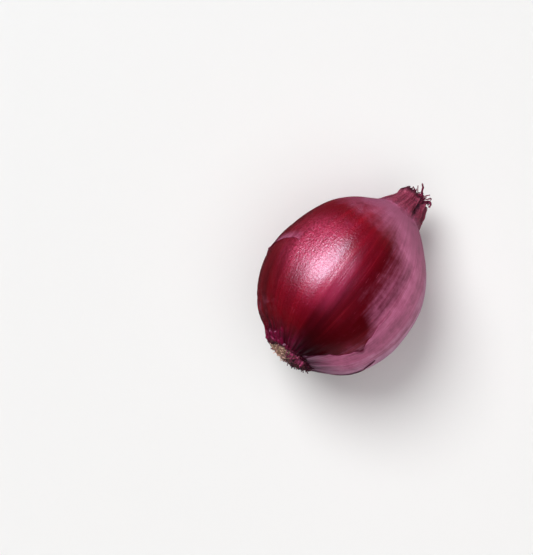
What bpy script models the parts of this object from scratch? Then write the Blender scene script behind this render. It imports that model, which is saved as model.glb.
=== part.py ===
"""A red onion, lying on its side as it rests on a table.

Three sub-parts: the bulb in its dry skins, with the pleated neck; the brittle leaf tips that stand
out of the neck's mouth; and the corky root plate with its trimmed roots. Metres, +Z up. The onion's
axis runs from the root plate to the neck, along +X and a little downwards.
"""

import math
import random

import bmesh
import bpy
from mathutils import Matrix, Vector, noise

MM = 0.001
MERGE_DISTANCE = 0.01 * MM

# Resting pose. The widest section of the bulb is centred here, and the axis dips by the tilt.
AXIS_CENTRE = Vector((-9.4 * MM, 0.0, 36.1 * MM))
REST_TILT = math.radians(13)

# Bulb. Heights are measured along the axis from the widest section, towards the neck.
BULB_RADIUS = 36 * MM
CROWN_LENGTH = 44.3 * MM
BASE_LENGTH = 38.5 * MM
TURN_STEPS = 80
CROWN_ROWS = 11
BASE_ROWS = 12

# Neck: a cone that grows out of the crown and leans to one side.
MOUTH_HEIGHT = 55.4 * MM
MOUTH_RADIUS = 6.1 * MM
NECK_SLOPE = 0.5
NECK_LENGTH = 20 * MM
NECK_BLEND = 8 * MM
NECK_ROWS = 7
NECK_START = 40 * MM
NECK_LEAN = -2.6 * MM
SHOULDER_SHIFT = 1.1 * MM
SHOULDER_HEIGHT = 34 * MM
SHOULDER_REACH = 12 * MM
WELL_RADIUS = 4.3 * MM
WELL_DEPTH = 4.6 * MM
WELL_FILLET = 0.7 * MM
RIM_ROUNDING = 0.6 * MM
RIM_REACH = 3 * MM
RIM_JAG = 2.2 * MM
RIM_TEETH = 3
RIM_FLARE = 0.6 * MM
RIM_SLOPE = 0.9 * MM
PLEATS = 10
PLEAT_DEPTH = 0.55 * MM
PLEAT_TWIST = 0.1
PLEAT_CROWDING = 1.5
PLEAT_START = 37 * MM
SLIT_START = 44 * MM
SLIT_END = 51.4 * MM
SLIT_ANGLE = math.radians(205)
SLIT_WIDTH = 0.2
SLIT_DEPTH = 1.3 * MM

# Low swells of the fleshy leaves: (waves round the bulb, height, turn).
SWELLS = ((2, 0.35 * MM, 0.6), (3, 0.30 * MM, 2.1), (5, 0.15 * MM, 4.0), (9, 0.10 * MM, 1.2))
SWELL_FADE = (24 * MM, 44 * MM)

# Where the outermost skin has come loose beside the root end, it stands off the bulb a little.
LOOSE_SKIN = 1.0 * MM
LOOSE_ANGLE = math.radians(270)
LOOSE_SPREAD = 0.6
LOOSE_HEIGHT = -28 * MM
LOOSE_REACH = 8 * MM

# Root end: the skin gathers in puckers and ends in a lip round the socket of the root plate.
SKIN_END_RADIUS = 12 * MM
LIP_ROUNDING = 0.45 * MM
LIP_RADIUS = 10.2 * MM
LIP_HEIGHT = -37.4 * MM
SOCKET_RADIUS = 8.8 * MM
SOCKET_FLOOR = -35.2 * MM
PUCKERS = 16
PUCKER_DEPTH = 0.55 * MM
PUCKER_CROWDING = 2.0
PUCKER_REACH = 10 * MM
ROOT_SHIFT = 0.3 * MM
ROOT_PINCH = 1.2 * MM
PINCH_HEIGHT = -34 * MM
PINCH_REACH = 3.5 * MM

# Root plate and its roots.
PLATE_GAP = 0.35 * MM
PLATE_RIM_RADIUS = 9.3 * MM
PLATE_RIM_THICKNESS = 0.8 * MM
PLATE_BOTTOM = -39.7 * MM
PLATE_STEPS = 30
PLATE_ROUGHNESS = 0.3 * MM
PLATE_LUMPS_PER_METRE = 400
ROOTS = 56
ROOT_SEED = 11
ROOT_RADIUS = 0.5 * MM
ROOT_SUNK = 0.8 * MM
ROOT_COLLAR = 0.4 * MM
ROOT_LENGTHS = (1.0 * MM, 2.6 * MM)
ROOT_CURL = 0.5
ROOT_TAPER = (1.1, 1.0, 0.9, 0.7)
ROOT_FIELD_RADIUS = 8.1 * MM
ROOT_SPLAY_MIDDLE = 12
ROOT_SPLAY_RIM = 70

# Torn leaf tips in the mouth of the neck.
PLUG_RADIUS = 3.2 * MM
PLUG_TOP = 1.2 * MM
PLUG_GAP = 0.4 * MM
PLUG_STEPS = 16
BLADE_THICKNESS = 0.65 * MM
BLADES = 13
BLADE_SEED = 5
BLADE_FEET = (1.1 * MM, 2.6 * MM)
BLADE_TWIST = 0.5
BLADE_SUNK = 1.5 * MM
BLADE_TAPER = 0.65
BLADE_NOTCH = 0.18
BLADE_CUP = 0.5 * MM
BLADE_LENGTHS = (2.6 * MM, 4.6 * MM)
BLADE_WIDTHS = (1.6 * MM, 2.8 * MM)
BLADE_LEANS = (12, 50)
TALLEST_BLADE = 5.4 * MM
TALLEST_LEAN = 5
TALLEST_ANGLE = math.radians(110)
SPREAD_BLADES = 4
SPREAD_BLADE_LENGTH = 5.1 * MM
SPREAD_LEAN = 66
SPREAD_ANGLE = math.radians(270)
SPREAD_STEP = math.radians(20)
SPREAD_SHORTENING = 0.12

GOLDEN_ANGLE = math.pi * (3 - math.sqrt(5))


def clear_scene():
    for obj in list(bpy.data.objects):
        bpy.data.objects.remove(obj, do_unlink=True)


def new_collection(name):
    collection = bpy.data.collections.new(name)
    bpy.context.scene.collection.children.link(collection)
    return collection


def new_material(name, color, roughness):
    material = bpy.data.materials.new(name)
    material.use_nodes = True
    shader = material.node_tree.nodes["Principled BSDF"]
    shader.inputs["Base Color"].default_value = (*color, 1.0)
    shader.inputs["Roughness"].default_value = roughness
    shader.inputs["Metallic"].default_value = 0.0
    material.diffuse_color = (*color, 1.0)
    return material


def evaluated_mesh(obj):
    graph = bpy.context.evaluated_depsgraph_get()
    return bpy.data.meshes.new_from_object(obj.evaluated_get(graph))


def apply_modifiers(obj):
    mesh = evaluated_mesh(obj)
    obj.modifiers.clear()
    obj.data = mesh
    mesh.name = obj.name


def turned(name, profile, steps, collection):
    """A solid turned round Z from (radius, height) points that run down its outer side."""
    bm = bmesh.new()
    points = [bm.verts.new((radius, 0, height)) for radius, height in profile]
    for above, below in zip(points, points[1:]):
        bm.edges.new((above, below))
    mesh = bpy.data.meshes.new(name)
    bm.to_mesh(mesh)
    bm.free()
    obj = bpy.data.objects.new(name, mesh)
    collection.objects.link(obj)
    screw = obj.modifiers.new("turn", "SCREW")
    screw.steps = screw.render_steps = steps
    screw.use_merge_vertices = True
    screw.merge_threshold = MERGE_DISTANCE
    apply_modifiers(obj)
    return obj


def fuse(core, collection):
    """Joins every object of a collection to the core, and removes them."""
    union = core.modifiers.new("fuse", "BOOLEAN")
    union.operation = "UNION"
    union.operand_type = "COLLECTION"
    union.collection = collection
    union.solver = "EXACT"
    apply_modifiers(core)
    for obj in list(collection.objects):
        bpy.data.objects.remove(obj, do_unlink=True)
    bpy.data.collections.remove(collection)


def smooth_max(a, b, width):
    """The larger of two lengths, rounded over where they come within width of each other."""
    near = max(width - abs(a - b), 0.0) / width
    return max(a, b) + near * near * width / 4


def ease(start, end, value):
    """0 before start, 1 after end, and a smooth step between them."""
    t = min(max((value - start) / (end - start), 0.0), 1.0)
    return t * t * (3 - 2 * t)


def bump(middle, reach, value):
    """1 at the middle, falling away to nothing on both sides."""
    return math.exp(-(((value - middle) / reach) ** 2))


def skin_radius(height):
    """The radius of the skin at a height along the axis."""
    length = CROWN_LENGTH if height > 0 else BASE_LENGTH
    body = BULB_RADIUS * math.sqrt(max(0.0, 1 - (height / length) ** 2))
    if height <= 0:
        return body - ROOT_PINCH * bump(PINCH_HEIGHT, PINCH_REACH, height)
    neck = MOUTH_RADIUS + NECK_SLOPE * min(MOUTH_HEIGHT - height, NECK_LENGTH)
    return smooth_max(body, neck, NECK_BLEND)


def bulb_profile():
    """From the floor of the neck's well over its rim, down the skin, and into the root socket."""
    floor = MOUTH_HEIGHT - WELL_DEPTH
    points = [
        (0.0, floor),
        (0.8 * WELL_RADIUS, floor),
        (WELL_RADIUS, floor + WELL_FILLET),
        (WELL_RADIUS, MOUTH_HEIGHT - 1.5 * RIM_ROUNDING),
        (0.5 * (WELL_RADIUS + MOUTH_RADIUS), MOUTH_HEIGHT),
    ]
    neck_step = (MOUTH_HEIGHT - NECK_START) / NECK_ROWS
    for row in range(NECK_ROWS):
        height = MOUTH_HEIGHT - RIM_ROUNDING - row * neck_step
        points.append((skin_radius(height), height))
    start = math.asin(NECK_START / CROWN_LENGTH)
    for row in range(CROWN_ROWS):
        height = CROWN_LENGTH * math.sin(start * (1 - row / CROWN_ROWS))
        points.append((skin_radius(height), height))
    end = math.acos(SKIN_END_RADIUS / BULB_RADIUS)
    for row in range(BASE_ROWS + 1):
        height = -BASE_LENGTH * math.sin(end * row / BASE_ROWS)
        points.append((skin_radius(height), height))
    points += [
        (LIP_RADIUS, LIP_HEIGHT),
        (SOCKET_RADIUS + LIP_ROUNDING, LIP_HEIGHT),
        (SOCKET_RADIUS, LIP_HEIGHT + LIP_ROUNDING),
        (SOCKET_RADIUS, SOCKET_FLOOR),
        (0.0, SOCKET_FLOOR),
    ]
    return points


def swell(angle, height):
    """How far the fleshy leaves push the skin out, fading towards both ends."""
    fade = 1 - ease(*SWELL_FADE, abs(height))
    return fade * sum(size * math.sin(waves * angle + turn) for waves, size, turn in SWELLS)


def loose_skin(angle, height):
    """The low blister of loosened skin beside the root end."""
    beside = bump(LOOSE_ANGLE, LOOSE_SPREAD, angle)
    return LOOSE_SKIN * beside * bump(LOOSE_HEIGHT, LOOSE_REACH, height)


def pleat(angle, height):
    """The folds of the neck, which twist as they rise, and one deeper slit in it."""
    rise = ease(PLEAT_START, MOUTH_HEIGHT, height)
    crowding = PLEAT_CROWDING * math.sin(2 * angle)
    fold = PLEAT_DEPTH * math.sin(PLEATS * angle + PLEAT_TWIST * height / MM + crowding)
    flare = RIM_FLARE * ease(MOUTH_HEIGHT - RIM_REACH, MOUTH_HEIGHT, height)
    slit = SLIT_DEPTH * bump(SLIT_ANGLE, SLIT_WIDTH, angle) * ease(SLIT_START, SLIT_END, height)
    return rise * fold + flare - slit


def pucker(angle, height):
    """The gathers of the skin round the root plate."""
    gather = ease(LIP_HEIGHT + PUCKER_REACH, LIP_HEIGHT, height)
    crowding = PUCKER_CROWDING * math.sin(angle + 1)
    return gather * PUCKER_DEPTH * math.sin(PUCKERS * angle + crowding)


def axis_shift(height):
    """Sideways place of the axis: the neck leans one way, its shoulder and the root end the other."""
    lean = NECK_LEAN * ease(SHOULDER_HEIGHT, MOUTH_HEIGHT, height)
    shoulder = SHOULDER_SHIFT * bump(SHOULDER_HEIGHT, SHOULDER_REACH, height)
    return lean + shoulder + ROOT_SHIFT * ease(-0.5 * BASE_LENGTH, -BASE_LENGTH, height)


def relief(angle, radius, height):
    """How far a point of the plain turned bulb moves outwards. The well and the socket stay round."""
    if height > NECK_START:
        return ease(WELL_RADIUS, MOUTH_RADIUS, radius) * pleat(angle, height)
    if radius < SOCKET_RADIUS + 0.5 * LIP_ROUNDING:
        return 0.0
    folds = pleat(angle, height) + pucker(angle, height)
    return folds + swell(angle, height) + loose_skin(angle, height)


def shape_skin(mesh):
    """Turns the plain turned bulb into the grown one."""
    for vertex in mesh.vertices:
        x, y, height = vertex.co
        radius = math.hypot(x, y)
        if radius < 1e-6:
            vertex.co.y = axis_shift(height)
            continue
        angle = math.atan2(y, x) % (2 * math.pi)
        out = relief(angle, radius, height)
        jag = noise.noise(RIM_TEETH * Vector((math.cos(angle), math.sin(angle), 0.0)))
        rise = RIM_JAG * jag + RIM_SLOPE * math.sin(angle)
        lift = rise * ease(MOUTH_HEIGHT - RIM_REACH, MOUTH_HEIGHT, height)
        scale = (radius + out) / radius
        vertex.co = (x * scale, y * scale + axis_shift(height), height + lift)


def resting_matrix():
    """Takes the upright onion to its place on the table."""
    turn = Matrix.Rotation(math.pi / 2 + REST_TILT, 4, "Y")
    return Matrix.Translation(AXIS_CENTRE) @ turn


def cut_flat_spot(mesh):
    """Cuts off what would reach below the table, which leaves the small flat spot."""
    to_table = resting_matrix()
    to_upright = to_table.inverted()
    bm = bmesh.new()
    bm.from_mesh(mesh)
    cut = bmesh.ops.bisect_plane(
        bm,
        geom=bm.verts[:] + bm.edges[:] + bm.faces[:],
        dist=0.1 * MERGE_DISTANCE,
        plane_co=to_upright @ Vector((0, 0, 0)),
        plane_no=to_upright.to_3x3() @ Vector((0, 0, -1)),
        clear_outer=True,
    )
    for vertex in bm.verts:
        placed = to_table @ vertex.co
        if abs(placed.z) < MERGE_DISTANCE:
            placed.z = 0.0
            vertex.co = to_upright @ placed
    edge = [item for item in cut["geom_cut"] if isinstance(item, bmesh.types.BMEdge)]
    bmesh.ops.edgeloop_fill(bm, edges=edge)
    bmesh.ops.recalc_face_normals(bm, faces=bm.faces[:])
    bm.to_mesh(mesh)
    bm.free()


def make_bulb(collection):
    bulb = turned("bulb", bulb_profile(), TURN_STEPS, collection)
    shape_skin(bulb.data)
    cut_flat_spot(bulb.data)
    bulb.data.materials.append(new_material("onion_skin", (0.16, 0.006, 0.02), 0.28))
    bulb.data.shade_smooth()
    return bulb


def plate_profile():
    """The root plate: a plug in the socket, then a corky rim and a low dome."""
    top = SOCKET_FLOOR - PLATE_GAP
    plug = SOCKET_RADIUS - 1.3 * PLATE_GAP
    rim_top = LIP_HEIGHT - PLATE_GAP - PLATE_ROUGHNESS
    return [
        (0.0, top),
        (plug, top),
        (plug, rim_top),
        (PLATE_RIM_RADIUS, rim_top - PLATE_ROUGHNESS),
        (PLATE_RIM_RADIUS - PLATE_ROUGHNESS, rim_top - PLATE_ROUGHNESS - PLATE_RIM_THICKNESS),
        (0.8 * PLATE_RIM_RADIUS, PLATE_BOTTOM + 0.9 * MM),
        (0.45 * PLATE_RIM_RADIUS, PLATE_BOTTOM + 0.2 * MM),
        (0.0, PLATE_BOTTOM),
    ]


def roughen_plate(mesh):
    """Gives the outer face of the plate its corky lumps."""
    for vertex in mesh.vertices:
        if vertex.co.z < LIP_HEIGHT - PLATE_GAP:
            lump = noise.noise(vertex.co * PLATE_LUMPS_PER_METRE)
            vertex.co.z += PLATE_ROUGHNESS * (lump - 0.4)


def tube(name, points, radii, collection):
    """A closed six-sided tube through the points, as a mesh."""
    curve = bpy.data.curves.new(name, "CURVE")
    curve.dimensions = "3D"
    curve.bevel_depth = 1.0
    curve.bevel_resolution = 1
    curve.use_fill_caps = True
    spline = curve.splines.new("POLY")
    spline.points.add(len(points) - 1)
    for item, point, radius in zip(spline.points, points, radii):
        item.co = (*point, 1.0)
        item.radius = radius
    guide = bpy.data.objects.new(name, curve)
    collection.objects.link(guide)
    mesh = evaluated_mesh(guide)
    bm = bmesh.new()
    bm.from_mesh(mesh)
    bmesh.ops.remove_doubles(bm, verts=bm.verts[:], dist=MERGE_DISTANCE)
    bmesh.ops.recalc_face_normals(bm, faces=bm.faces[:])
    bm.to_mesh(mesh)
    bm.free()
    obj = bpy.data.objects.new(name + "_mesh", mesh)
    obj.matrix_world = guide.matrix_world
    collection.objects.link(obj)
    bpy.data.objects.remove(guide, do_unlink=True)
    bpy.data.curves.remove(curve)
    return obj


def make_root(index, draw, collection):
    """One trimmed root. Near the rim it grows almost sideways, and near the middle along the axis."""
    angle = index * GOLDEN_ANGLE + draw.uniform(-0.2, 0.2)
    share = math.sqrt((index + 0.5) / ROOTS)
    foot_radius = share * ROOT_FIELD_RADIUS
    outward = Vector((math.cos(angle), math.sin(angle), 0.0))
    sideways = Vector((-math.sin(angle), math.cos(angle), 0.0))
    splay = math.radians(ROOT_SPLAY_MIDDLE + (ROOT_SPLAY_RIM - ROOT_SPLAY_MIDDLE) * share**2)
    direction = outward * math.sin(splay) + Vector((0, 0, -math.cos(splay)))
    length = draw.uniform(*ROOT_LENGTHS) * (1 - 0.45 * share)
    foot = outward * foot_radius + Vector((0, ROOT_SHIFT, PLATE_BOTTOM + 2 * PLATE_GAP))
    bend = sideways * draw.uniform(-ROOT_CURL, ROOT_CURL) * length
    points = [
        foot - direction * ROOT_SUNK,
        foot + direction * ROOT_COLLAR,
        foot + direction * (ROOT_COLLAR + 0.5 * length) + 0.4 * bend,
        foot + direction * (ROOT_COLLAR + length) + bend,
    ]
    radii = [ROOT_RADIUS * size for size in ROOT_TAPER]
    return tube(f"root_{index}", points, radii, collection)


def make_root_plate(collection):
    plate = turned("root_plate", plate_profile(), PLATE_STEPS, collection)
    roughen_plate(plate.data)
    for vertex in plate.data.vertices:
        vertex.co.y += ROOT_SHIFT
    roots = new_collection("roots")
    draw = random.Random(ROOT_SEED)
    for index in range(ROOTS):
        make_root(index, draw, roots)
    fuse(plate, roots)
    plate.data.materials.clear()
    plate.data.materials.append(new_material("root_cork", (0.33, 0.20, 0.13), 0.85))
    return plate


def make_blade(index, angle, length, lean, draw, collection):
    """One torn leaf tip: a thin strip that narrows, bends outwards and ends in a notch."""
    lean = math.radians(lean)
    width = draw.uniform(*BLADE_WIDTHS)
    foot_radius = draw.uniform(*BLADE_FEET)
    twist = draw.uniform(-BLADE_TWIST, BLADE_TWIST)
    outward = Vector((math.cos(angle), math.sin(angle), 0.0))
    across = Vector((-math.sin(angle + twist), math.cos(angle + twist), 0.0))
    up = Vector((0, 0, 1))
    foot = outward * foot_radius + Vector((0, NECK_LEAN, MOUTH_HEIGHT - BLADE_SUNK))
    bm = bmesh.new()
    bmesh.ops.create_grid(bm, x_segments=2, y_segments=5, size=0.5)
    for vertex in bm.verts:
        side, along = vertex.co.x, vertex.co.y + 0.5
        bend = lean * along
        taper = 1 - BLADE_TAPER * along**2
        notch = BLADE_NOTCH * length * along**4 * (1 - 3 * abs(side))
        reach = along * (length + BLADE_SUNK) - notch
        spine = foot + (outward * math.sin(bend) + up * math.cos(bend)) * reach
        vertex.co = spine + across * side * width * taper - outward * BLADE_CUP * side * side
    mesh = bpy.data.meshes.new(f"blade_{index}")
    bm.to_mesh(mesh)
    bm.free()
    blade = bpy.data.objects.new(f"blade_{index}", mesh)
    collection.objects.link(blade)
    solidify = blade.modifiers.new("thickness", "SOLIDIFY")
    solidify.thickness = BLADE_THICKNESS
    solidify.offset = 0.0
    apply_modifiers(blade)
    return blade


def plug_profile():
    """The packed dry leaf bases that close the neck, which the tips stand out of."""
    floor = MOUTH_HEIGHT - WELL_DEPTH + PLUG_GAP
    return [
        (0.0, MOUTH_HEIGHT + 0.4 * PLUG_TOP),
        (0.6 * PLUG_RADIUS, MOUTH_HEIGHT + 0.2 * PLUG_TOP),
        (PLUG_RADIUS, MOUTH_HEIGHT - PLUG_TOP),
        (0.95 * PLUG_RADIUS, floor),
        (0.0, floor),
    ]


def make_neck_fringe(collection):
    fringe = turned("neck_fringe", plug_profile(), PLUG_STEPS, collection)
    for vertex in fringe.data.vertices:
        vertex.co.y += NECK_LEAN
    blades = new_collection("blades")
    draw = random.Random(BLADE_SEED)
    make_blade(0, TALLEST_ANGLE, TALLEST_BLADE, TALLEST_LEAN, draw, blades)
    for index in range(1, BLADES):
        length = draw.uniform(*BLADE_LENGTHS)
        make_blade(index, index * GOLDEN_ANGLE, length, draw.uniform(*BLADE_LEANS), draw, blades)
    for index in range(SPREAD_BLADES):
        angle = SPREAD_ANGLE + SPREAD_STEP * (index - 0.5 * SPREAD_BLADES)
        length = SPREAD_BLADE_LENGTH * (1 - SPREAD_SHORTENING * index)
        make_blade(BLADES + index, angle, length, SPREAD_LEAN, draw, blades)
    fuse(fringe, blades)
    fringe.data.materials.clear()
    fringe.data.materials.append(new_material("dry_leaf_tips", (0.10, 0.012, 0.025), 0.75))
    return fringe


def main():
    clear_scene()
    onion = new_collection("red_onion")
    stand = bpy.data.objects.new("resting_place", None)
    stand.empty_display_size = 20 * MM
    stand.matrix_world = resting_matrix()
    onion.objects.link(stand)
    for part in (make_bulb(onion), make_neck_fringe(onion), make_root_plate(onion)):
        part.parent = stand
    bpy.context.view_layer.update()


main()
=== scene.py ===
"""The finished look of a red onion that lies on its side.

Laid out as an add-on and run as a script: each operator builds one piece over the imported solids, in
the same frame, and the last one sets up the studio. Lengths are in metres. The onion is shaped
upright, with its root end down, and is then laid in its resting place.
"""

import math
import random

import bmesh
import bpy
from bpy.props import FloatProperty, FloatVectorProperty, IntProperty, PointerProperty
from bpy.types import Operator, Panel, PropertyGroup
from mathutils import Matrix, Vector, geometry, noise


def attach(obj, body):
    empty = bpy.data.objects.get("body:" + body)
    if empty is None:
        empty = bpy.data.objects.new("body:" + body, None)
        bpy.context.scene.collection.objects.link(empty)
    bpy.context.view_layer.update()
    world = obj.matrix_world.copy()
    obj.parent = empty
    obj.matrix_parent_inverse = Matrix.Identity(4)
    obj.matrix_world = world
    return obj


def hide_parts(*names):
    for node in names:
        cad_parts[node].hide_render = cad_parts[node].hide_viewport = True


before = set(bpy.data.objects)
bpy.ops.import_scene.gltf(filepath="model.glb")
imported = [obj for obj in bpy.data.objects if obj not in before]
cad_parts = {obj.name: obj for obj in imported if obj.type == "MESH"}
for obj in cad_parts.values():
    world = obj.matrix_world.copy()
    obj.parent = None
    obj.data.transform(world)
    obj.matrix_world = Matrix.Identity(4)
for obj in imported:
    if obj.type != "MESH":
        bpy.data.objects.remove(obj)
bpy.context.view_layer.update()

bl_info = {
    "name": "Red Onion",
    "version": (1, 0, 0),
    "blender": (4, 5, 0),
    "location": "View3D > Sidebar > Onion",
    "description": "Builds a whole red onion and the studio that shows it",
    "category": "Object",
}

MM = 0.001

# Resting place: the widest section of the bulb is centred here, and the axis dips by the tilt.
AXIS_CENTRE = Vector((-9.4 * MM, 0.0, 36.1 * MM))
REST_TILT = math.radians(13)

# The plain form. Heights run along the axis from the widest section, towards the neck.
BULB_RADIUS = 36 * MM
CROWN_LENGTH = 44.3 * MM
BASE_LENGTH = 38.5 * MM
MOUTH_HEIGHT = 55.4 * MM
MOUTH_RADIUS = 6.1 * MM
NECK_SLOPE = 0.5
NECK_LENGTH = 20 * MM
NECK_BLEND = 8 * MM
NECK_START = 36 * MM
NECK_LEAN = -2.6 * MM
SHOULDER_SHIFT = 1.1 * MM
SHOULDER_HEIGHT = 34 * MM
SHOULDER_REACH = 12 * MM
SWELLS = ((2, 0.35 * MM, 0.6), (3, 0.30 * MM, 2.1), (5, 0.15 * MM, 4.0), (9, 0.10 * MM, 1.2))
SWELL_FADE = (24 * MM, 44 * MM)
BLISTER = 1.0 * MM
BLISTER_ANGLE = math.radians(270)
BLISTER_SPREAD = 0.6
BLISTER_HEIGHT = -28 * MM
BLISTER_REACH = 8 * MM
LIP_RADIUS = 10.2 * MM
LIP_HEIGHT = -37.4 * MM
SOCKET_RADIUS = 8.8 * MM
SOCKET_FLOOR = -35.2 * MM
SKIN_END_RADIUS = 12 * MM
ROOT_SHIFT = 0.3 * MM
ROOT_PINCH = 1.2 * MM
PINCH_HEIGHT = -34 * MM
PINCH_REACH = 3.5 * MM
PUCKERS = 16
PUCKER_REACH = 10 * MM
PLEATS = 10
PLEAT_START = 37 * MM
PLEAT_TWIST = 0.1
SLIT_ANGLE = math.radians(205)
SLIT_WIDTH = 0.2
RIM_REACH = 3 * MM
RIM_JAG = 2.2 * MM
RIM_SLOPE = 0.9 * MM
RIM_FLARE = 0.6 * MM

# The depth of the folds that the materials darken with painted shade.
SHADED_PLEAT = 0.62 * MM
SHADED_PUCKER = 0.6 * MM

# The dry sheath round the neck ends in a torn edge at about this height.
SHEATH_EDGE = 43.6 * MM

# The torn edge of the loose side skin, as (height in millimetres, angle in degrees) from the root up.
TORN_EDGE = (
    (-36.2, 200), (-34.8, 206), (-31.0, 213), (-27.5, 219.5), (-23.6, 224.0), (-20.4, 227.0),
    (-18.6, 224.0), (-15.9, 221.7), (-7.5, 217.5), (6.0, 212), (42.0, 206),
)

# The lower edge of the loose back skin, as (angle in degrees, height in millimetres).
ARCHED_EDGE = (
    (62, -7.0), (80, -5.6), (90, -4.6), (100, -2.0), (113, 0.3), (124, 1.2), (131, 0.4), (137, -3.0),
)

# Long torn strands in the mouth of the neck: the points that each runs through, and its width.
# Millimetres from the middle of the mouth: towards the belly, across, and out along the axis.
STRANDS = (
    (((-1.0, -3.2, -3.0), (-1.6, -2.4, 1.0), (-1.2, -0.6, 3.6), (-1.8, 0.6, 5.6), (-1.4, 1.9, 7.3)), 2.1),
    (((-0.6, 0.2, -2.0), (-1.4, 0.8, 2.0), (-1.2, 1.9, 4.0), (-1.6, 2.8, 5.3)), 0.68),
    (((-1.6, -1.2, -2.5), (-2.4, -2.0, 1.8), (-2.0, -3.1, 3.6), (-2.6, -4.1, 4.8)), 1),
    (((-1.0, -2.2, -2.5), (-1.8, -3.0, 1.6), (-1.2, -4.3, 2.8), (-1.8, -5.5, 4.1), (-1.4, -5.9, 3.2)), 0.94),
    (((-0.4, -3.0, -2.5), (-1.2, -4.1, 1.4), (-0.8, -5.6, 2.4), (-1.0, -6.9, 1.8), (-0.6, -7.3, 0.4)), 2.0),
    (((0.6, -3.2, -2.5), (0.2, -4.0, 1.0), (0.8, -5.6, 2.0), (0.4, -6.4, 1.2)), 1.4),
    (((1.4, -1.0, -2.5), (2.4, -1.0, 1.8), (3.4, -2.0, 3.4), (3.0, -3.4, 4.4)), 0.94),
    (((1.2, 1.6, -2.5), (2.2, 2.4, 1.6), (2.8, 3.6, 3.0), (2.2, 4.0, 4.2)), 1.1),
    (((-1.4, 2.2, -2.5), (-2.2, 2.8, 1.2), (-3.0, 3.4, 2.6), (-3.2, 4.4, 2.9)), 0.81),
)

GOLDEN_ANGLE = math.pi * (3 - math.sqrt(5))


class SkinSettings(PropertyGroup):
    """Sizes and colours of the bulb's skin."""

    steps: IntProperty(
        name="Steps", description="Divisions round the bulb", default=352, min=48, max=400
    )
    vein_depth: FloatProperty(
        name="Vein depth",
        description="Height of the ridges that run from the root end to the neck",
        default=0.09 * MM,
        unit="LENGTH",
    )
    pleat_depth: FloatProperty(
        name="Pleat depth", description="Depth of the neck's folds", default=0.62 * MM, unit="LENGTH"
    )
    pucker_depth: FloatProperty(
        name="Pucker depth",
        description="Depth of the gathers round the root plate",
        default=0.6 * MM,
        unit="LENGTH",
    )
    dark: FloatVectorProperty(
        name="Dark red",
        description="The deepest colour of the skin",
        subtype="COLOR",
        default=(0.070, 0.0004, 0.0008),
    )
    crimson: FloatVectorProperty(
        name="Crimson",
        description="The main colour of the skin",
        subtype="COLOR",
        default=(0.20, 0.0012, 0.0058),
    )
    # The near side's lilac is partly dried papery skin and partly a painted reflection of the bright wall.
    lilac: FloatVectorProperty(
        name="Lilac",
        description="The colour of the pale, dull side",
        subtype="COLOR",
        default=(0.67, 0.172, 0.335),
    )
    neck: FloatVectorProperty(
        name="Neck",
        description="The colour of the dry sheath round the neck",
        subtype="COLOR",
        default=(0.245, 0.031, 0.063),
    )


class LooseSkinSettings(PropertyGroup):
    """Sizes of the torn outer skins."""

    thickness: FloatProperty(
        name="Thickness", description="Thickness of a dry skin", default=0.12 * MM, unit="LENGTH"
    )
    lift: FloatProperty(
        name="Lift",
        description="How far the torn edges stand off the bulb",
        default=0.45 * MM,
        unit="LENGTH",
    )


class NeckSettings(PropertyGroup):
    """Sizes and colours of the dry leaf tips in the neck."""

    shreds: IntProperty(name="Shreds", description="Number of torn strips", default=84, min=0)
    thickness: FloatProperty(
        name="Thickness", description="Thickness of a dry leaf", default=0.14 * MM, unit="LENGTH"
    )
    tint: FloatVectorProperty(
        name="Tint",
        description="The colour of the dry leaf tips",
        subtype="COLOR",
        default=(0.14, 0.008, 0.030),
    )


class RootSettings(PropertyGroup):
    """Sizes and colours of the root end."""

    roots: IntProperty(name="Roots", description="Number of trimmed roots", default=170, min=0)
    tan: FloatVectorProperty(
        name="Tan",
        description="The colour of the corky plate and the pale roots",
        subtype="COLOR",
        default=(0.44, 0.26, 0.175),
    )


class StudioSettings(PropertyGroup):
    """The studio's light, floor and camera."""

    key: FloatProperty(name="Key", description="Strength of the main light", default=2.25)
    fill: FloatProperty(name="Fill", description="Strength of the soft light from above", default=1.38)
    softbox: FloatProperty(
        name="Softbox", description="Radiance of the softbox that the skin mirrors", default=13.0
    )
    scrim: FloatProperty(
        name="Scrim", description="Radiance of the softbox's dim outer part", default=0.85
    )
    floor: FloatVectorProperty(
        name="Floor", description="The colour of the floor", subtype="COLOR", default=(0.89, 0.88, 0.87)
    )
    lens: FloatProperty(name="Lens", description="Focal length in millimetres", default=125.7)
    camera_height: FloatProperty(
        name="Camera height",
        description="Height of the camera over the floor",
        default=0.9,
        unit="LENGTH",
    )


def smooth_max(a, b, width):
    """The larger of two lengths, rounded over where they come within width of each other."""
    near = max(width - abs(a - b), 0.0) / width
    return max(a, b) + near * near * width / 4


def ease(start, end, value):
    """0 before start, 1 after end, and a smooth step between them."""
    t = min(max((value - start) / (end - start), 0.0), 1.0)
    return t * t * (3 - 2 * t)


def follow(points, value):
    """The second number at a value of the first, along a line of (first, second) points."""
    for (start, low), (end, high) in zip(points, points[1:]):
        if value <= end:
            return low + (high - low) * ease(start, end, value)
    return points[-1][1]


def bump(middle, reach, value):
    """1 at the middle, falling away to nothing on both sides."""
    return math.exp(-(((value - middle) / reach) ** 2))


def ring(angle, height=0.0):
    """A place on a ring, for noise that has no seam where the angle starts again."""
    return Vector((math.cos(angle), math.sin(angle), height))


def resting_matrix():
    """Takes the upright onion to its place on the table."""
    turn = Matrix.Rotation(math.pi / 2 + REST_TILT, 4, "Y")
    return Matrix.Translation(AXIS_CENTRE) @ turn


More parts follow.
